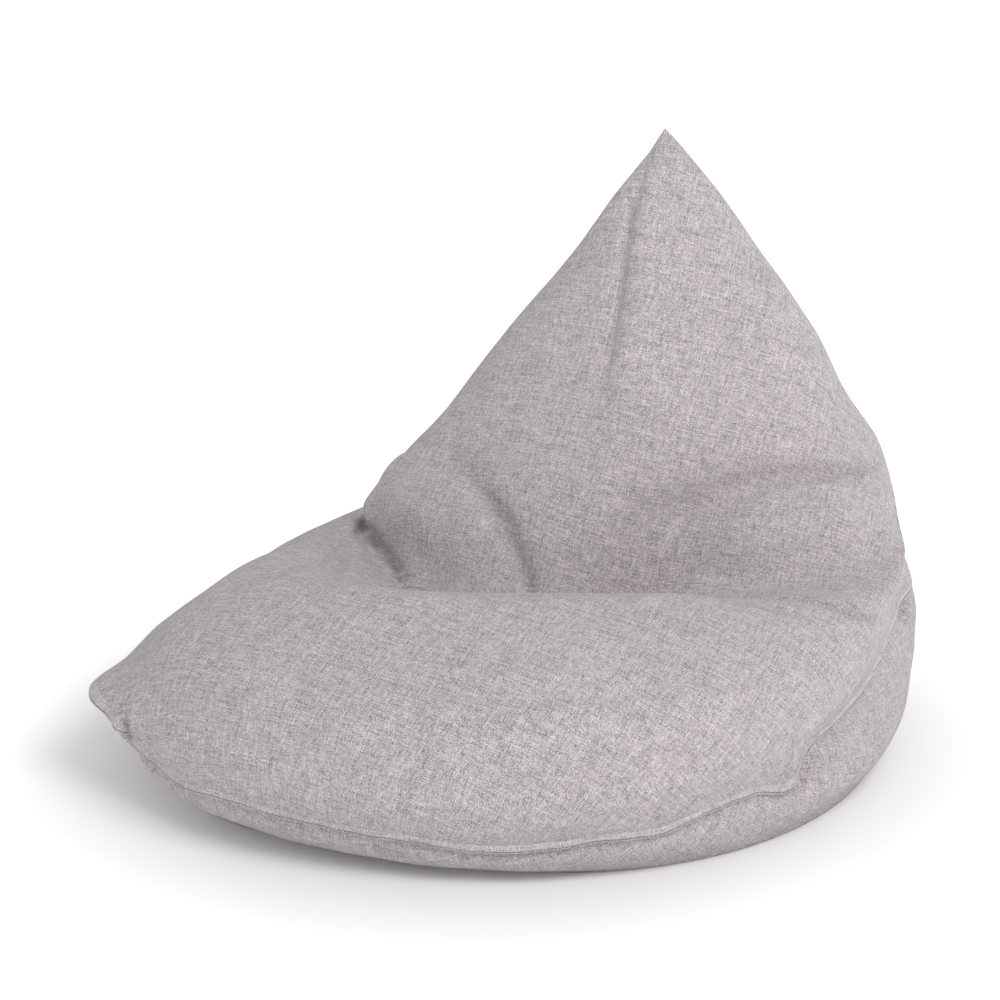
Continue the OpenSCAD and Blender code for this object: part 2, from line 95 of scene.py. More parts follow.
def around(values, angle):
    """A value between the eight stations of a ring."""
    values = np.asarray(values, float)
    s = (angle % 360.0) / 45.0
    i = np.floor(s).astype(int)
    return spline(values[(i - 1) % 8], values[i % 8], values[(i + 1) % 8], values[(i + 2) % 8], s - i)


def away(angle, middle):
    """Signed degrees from middle to angle, the short way round."""
    return (angle - middle + 180.0) % 360.0 - 180.0


def bell(angle, middle, spread):
    """1 at the middle angle, fading to 0 on both sides."""
    return np.exp(-(away(angle, middle) / spread) ** 2)


def smooth(x):
    """Eases from 0 to 1 as x goes from 0 to 1."""
    x = np.clip(x, 0.0, 1.0)
    return x * x * (3 - 2 * x)


def run_length(points):
    """Length along a line of points, measured from its first point."""
    return np.concatenate([[0], np.cumsum(np.linalg.norm(np.diff(points, axis=0), axis=-1))])


def column_length(P):
    """Length up every column of a grid, measured from its first point."""
    step = np.linalg.norm(np.diff(P, axis=1), axis=-1)
    return np.concatenate([np.zeros((len(P), 1)), np.cumsum(step, 1)], 1)


def between(values, known, wanted):
    """Points at the wanted places along a line whose points lie at the known places."""
    return np.stack([np.interp(wanted, known, values[:, i]) for i in range(3)], -1)


def rear_line(z):
    """The point of the straight rear line at height z."""
    z = np.asarray(z, float)[..., None]
    return REAR_FOOT + (REAR_HEAD - REAR_FOOT) * (z - REAR_FOOT[2]) / (REAR_HEAD[2] - REAR_FOOT[2])


def ring_point(k, angle):
    """A point of ring k, with the rear line and the ear worked in."""
    (cx, cy), radii, heights = RINGS[k]
    radii, shift = list(radii), [0.0] * 8
    if SEAM <= k <= NECK:
        foot = rear_line(heights[REAR])
        radii[REAR], shift[REAR] = foot[1] - cy, foot[0] - cx
    bump = bell(angle, EAR_ANGLE, EAR_SPREAD)
    share = {SEAM: 1.0, SEAM - 1: 0.5}.get(k, 0.0)
    r = around(radii, angle) + share * EAR_LEN * bump
    z = around(heights, angle) + (EAR_LIFT * bump if share else 0.0)
    a = np.radians(angle)
    return np.stack([cx + around(shift, angle) + r * np.sin(a), cy - r * np.cos(a), z], -1)


def skin(angle, v):
    """Points of the drawn surface: v counts rings and takes fractions between them."""
    angle, v = np.broadcast_arrays(np.asarray(angle, float), np.asarray(v, float))
    rings = np.stack([ring_point(k, angle) for k in range(PEAK + 1)])
    rings = np.concatenate([(2 * rings[0] - rings[1])[None], rings, (2 * rings[-1] - rings[-2])[None]])
    j = np.clip(np.floor(v).astype(int), 0, PEAK - 1)
    pick = [np.take_along_axis(rings, (j + o)[None, ..., None], 0)[0] for o in range(4)]
    return spline(*pick, (v - j)[..., None])


# The perimeter seam wanders down and up a little from its ring: (angle, spread, rings)
SEAM_WANDER = [(327, 8, -0.32), (19, 13, -0.22), (41, 6, -0.22), (65, 5, -0.42), (78, 6, 0.16)]


def wander(angle, w):
    """Ring values moved so that the seam row follows the seam's real course."""
    shift = sum(amount * bell(angle, middle, spread) for middle, spread, amount in SEAM_WANDER)
    return w + shift * (1 - smooth(np.abs(w - SEAM) / 1.5))


# ------------------------------------------------------------------ the grid
COLUMNS = 600
ROW_PITCH = 7.0
FLOOR_ROWS = 8
HIP_ANGLE, HIP_RING = 104, 5.4  # the right hip, where the rings run close together


def row_values(low, high):
    """Ring values of rows spaced about ROW_PITCH apart, an even number in each ring gap."""
    angles = np.arange(0, 360, 15.0)
    values = [float(low)]
    for k in range(low, high):
        span = np.linalg.norm(skin(angles, k + 1.0) - skin(angles, float(k)), axis=-1).mean()
        count = 2 * max(2, round(span / ROW_PITCH / 2))
        values += [k + (i + 1) / count for i in range(count)]
    return np.array(values)


ROWS = row_values(0, PEAK)
SEAM_ROW = int(np.argmin(np.abs(ROWS - SEAM)))
ANGLES = np.linspace(-180, 180, COLUMNS + 1)
A, W = np.meshgrid(ANGLES, ROWS, indexing="ij")


def slit_half(z):
    """Half the width of the rear slit: open along the zip, nearly closed beyond it."""
    opening = smooth((z - ZIP_LOW + 12) / 10) * smooth((ZIP_HIGH + 12 - z) / 10)
    return SLIT_SEWN + (SLIT_HALF - SLIT_SEWN) * opening


def hip_share(angle_spread, ring_spread):
    """1 at the right hip, fading to 0 around it."""
    return np.exp(-(away(A, HIP_ANGLE) / angle_spread) ** 2 - ((W - HIP_RING) / ring_spread) ** 2)


def drawn_grid():
    """The body before any fold, with a flat band beside the rear line."""
    P = skin(A, wander(A, W))
    back = 180 - np.abs(A)
    t = back / REAR_GAP
    line = skin(180.0, ROWS)[None]
    reach = np.linalg.norm(skin(180 - REAR_GAP, ROWS) - skin(180.0, ROWS), axis=-1)[None]
    half = np.where(ROWS > SEAM, slit_half(line[..., 2]), 0.0)
    x = half + (reach - half) * np.minimum(t, 1)
    side = np.where(A < 0, -1.0, 1.0)
    flat = line + (side * x)[..., None] * REAR_ACROSS
    share = (1 - smooth(t))[..., None] * smooth((W - SEAM + 0.6) / 0.6)[..., None]
    share = share * (1 - smooth((W - NECK - 0.6) / 0.6))[..., None]
    near = np.where(t < 1, 1.0, 0.0)[..., None]
    return even_hip(P + (flat - P) * share * near)


def even_hip(P, rounds=60):
    """Evens the grid on the right hip, where it would otherwise fold over."""
    weight = hip_share(13, 0.8)[1:-1, 1:-1, None]
    P = P.copy()
    for _ in range(rounds):
        mean = (P[:-2, 1:-1] + P[2:, 1:-1] + P[1:-1, :-2] + P[1:-1, 2:]) / 4
        P[1:-1, 1:-1] += weight * (mean - P[1:-1, 1:-1])
    return P


def normals(P, rounds=0):
    """Outward normals of the grid, averaged over neighbours in as many rounds as given."""
    across = np.gradient(P, axis=0)
    across[0] = across[-1] = P[1] - P[-2]
    up = np.gradient(P, axis=1)
    n = np.cross(across, up)
    n[:, -1] = [0, 0, 1]
    for _ in range(rounds):
        ring = (np.concatenate([n[-2:-1], n[:-1]]) + np.concatenate([n[1:], n[1:2]]) + 2 * n) / 4
        column = np.concatenate([ring[:, :1], ring, ring[:, -1:]], 1)
        n = (column[:, :-2] + column[:, 2:] + 2 * ring) / 4
    return unit(n)


# ------------------------------------------------------------------ folds
# Each fold is a path of (angle, ring, depth, half width): degrees, a ring value, and two
# lengths in mm, where a positive depth sinks. The broad ones come first: they set the outline
# between the rings.
PADS = {
    "left_edge_flat": [(271, 9.3, 2, 40), (272, 8.6, 4, 42), (271.5, 8.0, 9, 44), (272, 7.5, 27, 46),
                       (274, 7.15, 35, 40), (276, 6.95, 22, 24), (278, 6.8, 6, 16)],
    "left_edge_foot": [(279, 6.65, -6, 16), (279.5, 6.5, -12, 18), (280, 6.35, -8, 18)],
    "peak_left_pad": [(281, 11.0, -3, 20), (282.5, 10.55, -6, 26), (279, 10.2, -3, 26)],
    "right_edge_flat": [(105, 7.3, 3, 34), (104, 6.9, 9, 38), (104, 6.4, 14, 42), (103, 6.0, 16, 42),
                        (102, 5.6, 14, 38), (99, 5.3, 5, 32)],
    "right_hip_pad": [(107, 2.3, -5, 28), (110, 2.0, -14, 38), (110, 1.7, -15, 40), (109, 1.45, -9, 34)],
    "left_foot_pad": [(316, 1.75, -3, 18), (321, 1.65, -15, 24), (327, 1.6, -17, 30),
                      (336, 1.55, -9, 30), (346, 1.5, -2, 28)],
    "back_left_pad": [(284, 6.9, -3, 40), (300, 6.85, -8, 42), (316, 6.6, -9, 38), (328, 6.3, -6, 30)],
    "flank_pad": [(88, 6.7, -4, 45), (74, 6.8, -10, 45), (60, 6.75, -10, 42), (48, 6.55, -5, 34)],
    "seat_crease": [(318, 5.9, 6, 20), (338, 5.75, 14, 22), (0, 5.7, 16, 22), (25, 5.75, 14, 22),
                    (48, 5.9, 8, 20)],
    "crest_edge": [(345, 4.95, -2, 16), (0, 4.9, -4, 16), (20, 4.9, -4, 16), (40, 4.95, -4, 16),
                   (56, 5.2, -2, 14)],
    "lobe_edge": [(264, 5.25, -3, 14), (276, 5.7, -8, 14), (286, 5.88, -9, 14), (296, 5.78, -8, 14),
                  (306, 5.6, -4, 16)],
}
FOLDS = {
    "back_left_valley": [(292, 7.62, 2, 13), (300, 7.46, 9, 13), (312, 7.3, 15, 15), (327, 7.0, 18, 15),
                         (336, 6.6, 17, 13), (346, 6.1, 11, 13)],
    "back_right_valley": [(94, 7.25, 3, 8), (86, 7.42, 13, 8), (75, 7.52, 18, 10), (61, 7.46, 18, 13),
                          (47, 7.22, 12, 20), (34, 7.05, 9, 24), (20, 6.9, 5, 26), (6, 6.62, 2, 24)],
    "left_gap": [(275, 6.1, 8, 7), (280.5, 6.2, 18, 7.5), (288, 6.25, 20, 8),
                 (293.5, 6.22, 20, 8), (298.5, 6.12, 19, 8), (304, 6.02, 16, 8), (312, 5.95, 10, 9),
                 (322, 5.85, 5, 10)],
    "seat_gap": [(312, 6.02, 4, 9), (328, 6.02, 11, 10), (348, 6.04, 14, 11), (8, 6.05, 14, 11),
                 (26, 6.06, 12, 11), (42, 6.03, 8, 10), (54, 5.98, 3, 9)],
    "crest_fold": [(48, 5.75, 2, 9), (58, 5.72, 12, 9), (66, 5.6, 19, 9), (74, 5.25, 20, 7),
                   (80, 4.85, 15, 6), (86, 4.35, 4, 6)],
    "spine_valley": [(308, 11.2, 1, 7), (318, 10.5, 6, 8), (328, 10.0, 9, 9), (337, 9.3, 9, 10),
                     (342, 8.7, 7, 12), (340, 8.2, 5, 16), (333, 7.9, 2, 20)],
    "spine_ridge": [(322, 11.3, -2, 12), (340, 10.5, -6, 16), (350, 9.9, -8, 20), (357, 9.2, -8, 24),
                    (0, 8.6, -5, 30), (358, 8.1, -2, 34)],
    "ear_tuck": [(314.8, 2.7, 2, 6), (316.4, 2.3, 10, 6), (317.4, 2.0, 15, 6), (318.3, 1.7, 12, 7),
                 (319, 1.3, 3, 8)],
    "ear_dent": [(309, 2.5, 2, 14), (311, 2.25, 7, 14), (314, 2.1, 6, 10)],
    "corner_tuck": [(63, 1.6, 2, 8), (67, 1.72, 9, 9), (70, 1.92, 9, 9), (74, 2.1, 4, 9)],
    "front_mark": [(352, 2.9, 1, 14), (356, 2.7, 3, 12), (0, 2.5, 1, 12)],
    "flank_mark": [(50, 4.35, 1, 12), (57, 4.2, 4, 12), (62, 3.85, 4, 12), (66, 3.5, 1, 12)],
    "base_fold": [(356, 1.7, 1, 9), (1, 1.6, 5, 9), (5, 1.3, 5, 9), (8, 0.9, 1, 9)],
}
FOLD_SAMPLES = 48
FOLD_REACH = 3.2  # half widths beyond which a fold is too shallow to count


def fold_depth(P, path):
    """How far each point sinks into one fold, by its distance from the fold's path."""
    path = np.array(path, float)
    path[:, 0] = path[0, 0] + away(path[:, 0], path[0, 0])
    ext = np.vstack([2 * path[0] - path[1], path, 2 * path[-1] - path[-2]])
    s = np.linspace(0, len(path) - 1 - 1e-6, FOLD_SAMPLES)
    j = np.floor(s).astype(int)
    samples = spline(ext[j], ext[j + 1], ext[j + 2], ext[j + 3], (s - j)[:, None])
    track = skin(samples[:, 0], wander(samples[:, 0], samples[:, 1]))
    reach = FOLD_REACH * samples[:, 3].max()
    inside = np.all((P > track.min(0) - reach) & (P < track.max(0) + reach), axis=-1)
    points = P[inside]
    nearest = ((points[:, None] - track[None]) ** 2).sum(-1).argmin(1)
    # the distance to the segments on both sides of the nearest sample, so that no steps show
    best, value = np.full(len(points), np.inf), np.zeros(len(points))
    for step in (-1, 0):
        start = np.clip(nearest + step, 0, FOLD_SAMPLES - 2)
        along = track[start + 1] - track[start]
        offset = points - track[start]
        share = np.clip((offset * along).sum(-1) / (along * along).sum(-1), 0, 1)[:, None]
        distance2 = ((offset - share * along) ** 2).sum(-1)
        here = samples[start] + (samples[start + 1] - samples[start]) * share
        sink = here[:, 2] * np.exp(-distance2 / here[:, 3] ** 2)
        value = np.where(distance2 < best, sink, value)
        best = np.minimum(distance2, best)
    depth = np.zeros(P.shape[:2])
    depth[inside] = value
    return depth


def seam_distance(P):
    """Distance of every point from the seam row, measured along its own column."""
    run = column_length(P)
    return run - run[:, SEAM_ROW:SEAM_ROW + 1]


PUCKER_DEPTH, PUCKER_REACH = 0.6, 26.0
GROOVE_BELOW, GROOVE_ABOVE = 5.5, 4.3  # how deep the cloth is pulled in beside the seam
HOLD, HOLD_REACH = 0.85, 22.0  # how firmly the seam holds the cloth, and how far from it
UNDULATION_DEPTH, UNDULATION_SIZE = 3.2, 150.0
CRISP_DEPTH = 10.0  # a fold this deep is held in shape by its own creases


def puckers(P):
    """Small gathers that run out from the perimeter seam, and the groove on both its sides."""
    d, s = seam_distance(P), run_length(P[:, SEAM_ROW])[:, None]
    # two uneven waves along the seam, so that no two gathers are alike
    wave = np.sin(s / 7.3 + 2.1 * np.sin(s / 61)) + 0.7 * np.sin(s / 12.9 + 1.7 * np.sin(s / 83))
    strength = 0.45 + 0.55 * np.sin(s / 140 + 0.6) ** 2
    fade = np.exp(-(np.abs(d) / PUCKER_REACH) ** 1.3)
    below = GROOVE_BELOW * np.exp(-((d + 4) / 8) ** 2)
    above = GROOVE_ABOVE * np.exp(-(d / 7) ** 2)
    return PUCKER_DEPTH * wave * strength * fade + np.where(d < 0, below, above)


def undulation(P):
    """Broad, shallow unevenness of loosely filled cloth."""
    flat = P.reshape(-1, 3) / UNDULATION_SIZE
    out = np.array([noise.noise(Vector(p)) + 0.5 * noise.noise(Vector(p) * 2.3 + Vector((7, 3, 1)))
                    for p in flat])
    return UNDULATION_DEPTH * out.reshape(P.shape[:2])


def held_seam(P):
    """How firmly the cloth is held beside the perimeter seam, where four layers are sewn."""
    return HOLD * np.exp(-(seam_distance(P) / HOLD_REACH) ** 2)


def calm(P):
    """1 where cloth is free to move, 0 beside the zip, on the floor and at the peak."""
    rear = smooth((180 - np.abs(A) - 4) / 10)
    rear = np.where(W > SEAM, rear, smooth((180 - np.abs(A) - 1) / 6))
    return rear * smooth((P[..., 2] - 2) / 18) * smooth((PEAK - W - 0.15) / 0.6)


def sculpt():
    """The grid with its pads, folds and puckers, and how deeply each point is folded, 0 to 1.

    The broader a form is, the smoother are the normals that it is carved along."""
    P = drawn_grid()
    free = calm(P)[..., None]
    broad = sum(fold_depth(P, path) for path in PADS.values()) + undulation(P)
    P = P - broad[..., None] * free * normals(P, 40)
    fine = sum(fold_depth(P, path) for path in FOLDS.values())
    P = P - fine[..., None] * free * normals(P, 6)
    crisp = np.clip(fine / CRISP_DEPTH, 0, 1)
    return P - puckers(P)[..., None] * free * normals(P, 2), crisp


# ------------------------------------------------------------------ cloth simulation
SIM_FRAMES = 20
SIM_CAP = 9.0  # the most, in mm, that the simulation may move a point
FOLD_HOLD = 0.85  # how firmly a crisp fold is held


def doubled(values, count):
    """The rows of an array with one more, by Catmull-Rom, between each two; count in all."""
    ext = np.concatenate([values[:1], values, values[-1:], values[-1:]])
    s = np.arange(count) / 2.0
    j = np.floor(s).astype(int)
    pick = [ext[np.minimum(j + o, len(ext) - 1)] for o in range(4)]
    return spline(*pick, (s - j)[:, None, None])


def upsample(coarse, rows, columns):
    """The whole grid again, from every second column and row of it."""
    out = doubled(coarse, columns)
    return np.swapaxes(doubled(np.swapaxes(out, 0, 1), rows), 0, 1)


def set_cloth(mod):
    """A stiff upholstery cloth, blown up a little by the beads inside."""
    s = mod.settings
    s.quality = 6
    s.mass = 0.35
    s.tension_stiffness = s.compression_stiffness = 18
    s.shear_stiffness = 8
    s.bending_stiffness = 0.6
    s.tension_damping = s.compression_damping = s.shear_damping = 8
    s.air_damping = 3
    s.use_pressure = True
    s.uniform_pressure_force = 4.0
    s.shrink_min = -0.012
    s.vertex_group_mass = "held"
    s.pin_stiffness = 1.0
    s.effector_weights.gravity = 0.0
    mod.collision_settings.use_collision = False
    mod.collision_settings.use_self_collision = False
    mod.point_cache.frame_start, mod.point_cache.frame_end = 1, SIM_FRAMES


def relax(P, crisp):
    """Blows the sewn cover up as cloth and returns the grid with the movement added."""
    free = calm(P) * (1 - held_seam(P)) * (1 - FOLD_HOLD * crisp)
    body = P[:-1:2, ::2]
    obj = grid_object("cover_cloth", body, True)
    group = obj.vertex_groups.new(name="held")
    hold = (1 - free[:-1:2, ::2]).reshape(-1)
    for i in np.nonzero(hold > 0.01)[0]:
        group.add([int(i)], float(hold[i]), "REPLACE")
    set_cloth(obj.modifiers.new("cloth", "CLOTH"))
    for f in range(1, SIM_FRAMES + 1):
        scene.frame_set(f)
    moved = np.empty(body.size, np.float32)
    result = obj.evaluated_get(bpy.context.evaluated_depsgraph_get())
    result.data.vertices.foreach_get("co", moved)
    delta = moved.reshape(body.shape) / MM - body
    scene.frame_set(1)
    bpy.data.objects.remove(obj, do_unlink=True)
    size = np.linalg.norm(delta, axis=-1, keepdims=True)
    delta = delta * np.minimum(1, SIM_CAP / np.maximum(size, 1e-6))
    delta = np.concatenate([delta, delta[:1]])
    return P + upsample(delta, P.shape[1], P.shape[0]) * free[..., None]


# ------------------------------------------------------------------ meshes
def link(mesh):
    """A new object in the scene for the mesh."""
    obj = bpy.data.objects.new(mesh.name, mesh)
    scene.collection.objects.link(obj)
    return obj


def faces_mesh(name, verts, faces, cloth=None):
    """A smooth mesh from points in mm, with its cloth coordinates as an attribute."""
    mesh = bpy.data.meshes.new(name)
    mesh.vertices.add(len(verts))
    mesh.vertices.foreach_set("co", (np.asarray(verts) * MM).astype(np.float32).ravel())
    faces = np.asarray(faces, np.int32)
    mesh.loops.add(faces.size)
    mesh.loops.foreach_set("vertex_index", faces.ravel())
    mesh.polygons.add(len(faces))
    mesh.polygons.foreach_set("loop_start", np.arange(0, faces.size, faces.shape[1], dtype=np.int32))
    mesh.polygons.foreach_set("use_smooth", np.ones(len(faces), bool))
    mesh.update(calc_edges=True)
    if cloth is not None:
        attribute = mesh.attributes.new("cloth", "FLOAT2", "POINT")
        attribute.data.foreach_set("vector", (np.asarray(cloth) * MM).astype(np.float32).ravel())
    return mesh


def grid_faces(n, m, closed):
    """The faces of a grid of n columns and m rows; a closed one joins its last column."""
    c, r = np.meshgrid(np.arange(n if closed else n - 1), np.arange(m - 1), indexing="ij")
    a, b = c * m + r, ((c + 1) % n) * m + r
    return np.stack([a, b, b + 1, a + 1], -1).reshape(-1, 4)


def grid_object(name, P, closed, cloth=None):
    """An object from a grid of points."""
    n, m = P.shape[:2]
    flat = None if cloth is None else cloth.reshape(-1, 2)
    return link(faces_mesh(name, P.reshape(-1, 3), grid_faces(n, m, closed), flat))


def add_faces(obj, loops, rounded):
    """Adds faces, each one a list of point numbers, and turns every face outwards."""
    bm = bmesh.new()
    bm.from_mesh(obj.data)
    bm.verts.ensure_lookup_table()
    for loop in loops:
        bm.faces.new([bm.verts[i] for i in loop]).smooth = rounded
    bmesh.ops.recalc_face_normals(bm, faces=bm.faces)
    bm.to_mesh(obj.data)
    bm.free()


def sweep(name, line, up, out, section, closed):
    """Sweeps a closed section of (up, out) points along a line; open ends are capped.

    section is either one list or an array with one section for each point of the line."""
    section = np.broadcast_to(np.asarray(section, float), (len(line),) + np.shape(section)[-2:])
    P = line[:, None] + section[..., :1] * up[:, None] + section[..., 1:] * out[:, None]
    n, m = P.shape[:2]
    ring = np.arange(m)
    faces = []
    for i in range(n if closed else n - 1):
        a, b = i * m + ring, ((i + 1) % n) * m + ring
        faces.append(np.stack([a, b, np.roll(b, -1), np.roll(a, -1)], -1))
    faces = np.concatenate(faces)
    girth = np.linalg.norm(np.roll(section, -1, 1) - section, axis=-1)
    girth = np.concatenate([np.zeros((n, 1)), np.cumsum(girth[:, :-1], 1)], 1)
    cloth = np.stack(np.broadcast_arrays(run_length(line)[:, None], girth), -1)
    obj = link(faces_mesh(name, P.reshape(-1, 3), faces, cloth.reshape(-1, 2)))
    if not closed:
        add_faces(obj, [ring, (n - 1) * m + ring[::-1]], False)
    return obj


STITCH_PITCH, STITCH_LENGTH, THREAD = 4.3, 3.4, 1.0


def capsules(name, starts, ends, out, thick, sides=6):
    """Short stitches: each one a bent capsule that dips into the cloth at both ends.

    It has five rings of points, and flat caps of four-sided faces."""
    along = ends - starts
    side = unit(np.cross(along, out))
    stations = np.array([0.0, 0.12, 0.5, 0.88, 1.0])
    girth = np.array([0.45, 0.95, 1.0, 0.95, 0.45]) * thick / 2
    rise = np.array([-0.35, 0.12, 0.22, 0.12, -0.35]) * thick
    turn = np.arange(sides) * 2 * np.pi / sides
    centre = starts[:, None] + along[:, None] * stations[:, None] + out[:, None] * rise[:, None]
    P = (centre[:, :, None] + girth[:, None, None] * (np.cos(turn)[:, None] * side[:, None, None]
                                                      + np.sin(turn)[:, None] * out[:, None, None]))
    k, m = len(starts), len(stations) * sides
    ring = np.arange(sides)
    one = [np.stack([j * sides + ring, j * sides + np.roll(ring, -1),
                     (j + 1) * sides + np.roll(ring, -1), (j + 1) * sides + ring], -1)
           for j in range(len(stations) - 1)]
    half = sides // 2 - 1
    for cap, order in ((0, -1), (m - sides, 1)):
        for j in range(half):
            quad = [cap + j, cap + j + 1, cap + sides - 2 - j, cap + sides - 1 - j]
            one.append(np.array([quad[::order]]))
    one = np.concatenate(one)
    faces = (one[None] + (np.arange(k) * m)[:, None, None]).reshape(-1, 4)
    return link(faces_mesh(name, P.reshape(-1, 3), faces))


def stitch_row(name, rows):
    """Stitches along one or more rows; each row is (line, out)."""
    starts, ends, outs = [], [], []
    for line, out in rows:
        run = run_length(line)
        count = max(1, int(run[-1] / STITCH_PITCH))
        at = (np.arange(count) + 0.5) * run[-1] / count
        starts.append(between(line, run, at - STITCH_LENGTH / 2))
        ends.append(between(line, run, at + STITCH_LENGTH / 2))
        outs.append(unit(between(out, run, at)))
    return capsules(name, np.concatenate(starts), np.concatenate(ends), np.concatenate(outs), THREAD)


# ------------------------------------------------------------------ cloth coordinates
UNWRAP_STEP = 5
WEFT_ANGLE, WEFT_ROW = -15, 3  # where, in the coarse grid, the weft is laid level


def sheet_area(grid):
    """Area of a grid of flat or solid points."""
    a, b = grid[1:, :-1] - grid[:-1, :-1], grid[:-1, 1:] - grid[:-1, :-1]
    if grid.shape[-1] == 2:
        return np.abs(a[..., 0] * b[..., 1] - a[..., 1] * b[..., 0]).sum()
    return np.linalg.norm(np.cross(a, b), axis=-1).sum()


def filled_in(grid, columns, rows, shape):
    """A grid known at some columns and rows, read off at all of them."""
    out = np.empty(shape + (2,))
    for c in range(2):
        by_rows = np.stack([np.interp(np.arange(shape[1]), rows, line) for line in grid[..., c]])
        by_columns = [np.interp(np.arange(shape[0]), columns, line) for line in by_rows.T]
        out[..., c] = np.stack(by_columns).T
    return out


def unwrap(P):
    """Flattens the open sheet P and returns the flat place, in mm, of each of its points."""
    columns = np.arange(0, P.shape[0], UNWRAP_STEP)
    rows = np.unique(np.append(np.arange(0, P.shape[1] - 1, UNWRAP_STEP), P.shape[1] - 2))
    coarse = P[np.ix_(columns, rows)]
    obj = grid_object("flat_pattern", coarse, False)
    obj.data.uv_layers.new(name="flat")
    bpy.context.view_layer.objects.active = obj
    obj.select_set(True)
    bpy.ops.object.mode_set(mode="EDIT")
    bpy.ops.mesh.select_all(action="SELECT")
    bpy.ops.uv.unwrap(method="ANGLE_BASED", margin=0.0, correct_aspect=False)
    bpy.ops.uv.minimize_stretch(iterations=60)
    bpy.ops.object.mode_set(mode="OBJECT")
    loops = len(obj.data.loops)
    uv, index = np.empty(loops * 2, np.float32), np.empty(loops, np.int32)
    obj.data.uv_layers[0].data.foreach_get("uv", uv)
    obj.data.loops.foreach_get("vertex_index", index)
    flat = np.zeros((coarse.shape[0] * coarse.shape[1], 2))
    flat[index] = uv.reshape(-1, 2)
    flat = flat.reshape(*coarse.shape[:2], 2)
    bpy.data.objects.remove(obj, do_unlink=True)
    flat *= math.sqrt(sheet_area(coarse) / max(sheet_area(flat), 1e-12))
    i = int(np.argmin(np.abs(ANGLES[columns] - WEFT_ANGLE)))
    level = unit(flat[i + 2, WEFT_ROW] - flat[i - 2, WEFT_ROW])
    flat = flat @ np.array([[level[0], -level[1]], [level[1], level[0]]])
    return filled_in(flat, columns, rows, P.shape[:2])


def base_cloth(P):
    """The base panel is cut as a disc: the flat floor ring, then lengths up each column."""
    first = P[:, 0, :2]
    ray = unit(first - first.mean(0))
    return first[:, None] + ray[:, None] * column_length(P)[..., None]


# ------------------------------------------------------------------ materials
class Nodes:
    """A short way to write shader nodes: each call returns a socket."""

    def __init__(self, name):
        self.mat = bpy.data.materials.new(name)
        self.mat.use_nodes = True
        self.tree = self.mat.node_tree
        self.bsdf = self.tree.nodes["Principled BSDF"]

    def put(self, kind, **settings):
        node = self.tree.nodes.new(kind)
        for key, value in settings.items():
            setattr(node, key, value)
        return node

    def join(self, node, slot, value):
        if isinstance(value, bpy.types.NodeSocket):
            self.tree.links.new(value, node.inputs[slot])
        else:
            node.inputs[slot].default_value = value

    def math(self, operation, a, b=0.0):
        node = self.put("ShaderNodeMath", operation=operation)
        for slot, value in enumerate((a, b)):
            self.join(node, slot, value)
        return node.outputs[0]

    def line(self, start, gain, socket):
        """start plus gain times the socket."""
        return self.math("ADD", start, self.math("MULTIPLY", socket, gain))

    def xyz(self, x, y, z=0.0):
        node = self.put("ShaderNodeCombineXYZ")
        for slot, value in enumerate((x, y, z)):
            self.join(node, slot, value)
        return node.outputs[0]

    def white(self, vector):
        node = self.put("ShaderNodeTexWhiteNoise", noise_dimensions="3D")
        self.join(node, "Vector", vector)
        return node.outputs["Value"]

    def noise(self, vector, scale, detail=2.0):
        node = self.put("ShaderNodeTexNoise", noise_dimensions="3D")
        self.join(node, "Vector", vector)
        self.join(node, "Scale", scale)
        self.join(node, "Detail", detail)
        return node.outputs["Fac"]

    def mix(self, share, a, b):
        """a where share is 0, b where it is 1, for plain numbers."""
        return self.math("ADD", a, self.math("MULTIPLY", share, self.math("SUBTRACT", b, a)))

    def tint(self, factor, colour):
        """The colour made lighter or darker by a factor socket."""
        node = self.put("ShaderNodeVectorMath", operation="SCALE")
        node.inputs[0].default_value = colour
        self.join(node, "Scale", factor)
        return node.outputs[0]

    def bump(self, height, distance):
        node = self.put("ShaderNodeBump")
        node.inputs["Distance"].default_value = distance
        node.inputs["Strength"].default_value = 1.0
        self.join(node, "Height", height)
        self.join(self.bsdf, "Normal", node.outputs[0])

    def look(self, colour, shade, rough):
        """The colour times a shade socket, and a roughness socket."""
        self.join(self.bsdf, "Base Color", self.tint(shade, colour))
        self.join(self.bsdf, "Roughness", rough)

    def set(self, **values):
        """Plain numbers on the shader's own sockets."""
        for key, value in values.items():
            self.bsdf.inputs[key.replace("_", " ")].default_value = value


def position(nodes):
    """The place on the object, in metres."""
    return nodes.put("ShaderNodeTexCoord").outputs["Object"]


def apart(nodes, vector):
    """The three parts of a vector."""
    node = nodes.put("ShaderNodeSeparateXYZ")
    nodes.join(node, 0, vector)
    return node.outputs


SLUB_LENGTH = 0.085  # how fast a thread's shade changes along it, for each thread crossed
DRIFT = 1.4  # threads by which the weave wanders sideways


